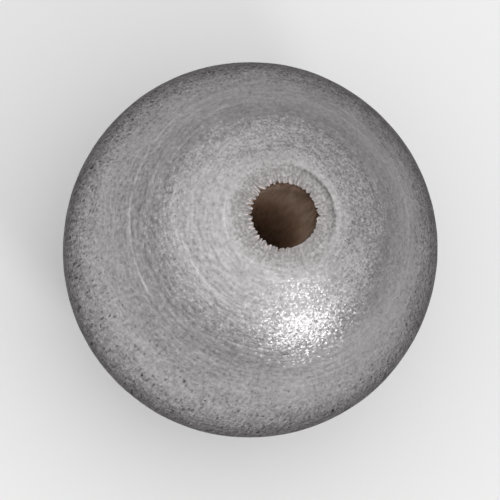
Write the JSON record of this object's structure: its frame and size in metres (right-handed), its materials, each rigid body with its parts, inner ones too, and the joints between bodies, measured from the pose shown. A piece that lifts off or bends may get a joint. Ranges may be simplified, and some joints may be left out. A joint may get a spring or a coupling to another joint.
{
  "type": "wooden bead",
  "caption": "Turned wooden ball bead with a bore drilled right through, flat rings at both ends, painted silver outside and bare wood in the bore.",
  "frame": {"origin": "middle of the ball, on the axis of the bore, halfway between the two flat ends", "axes": "+Z along the bore, out of its upper mouth; X and Y are alike, because the bead is turned"},
  "size_m": [0.025, 0.025, 0.0236],
  "materials": {
    "painted_wood": "satin"
  },
  "bodies": {
    "root": {"bead": "painted_wood"}
  },
  "joints": []
}
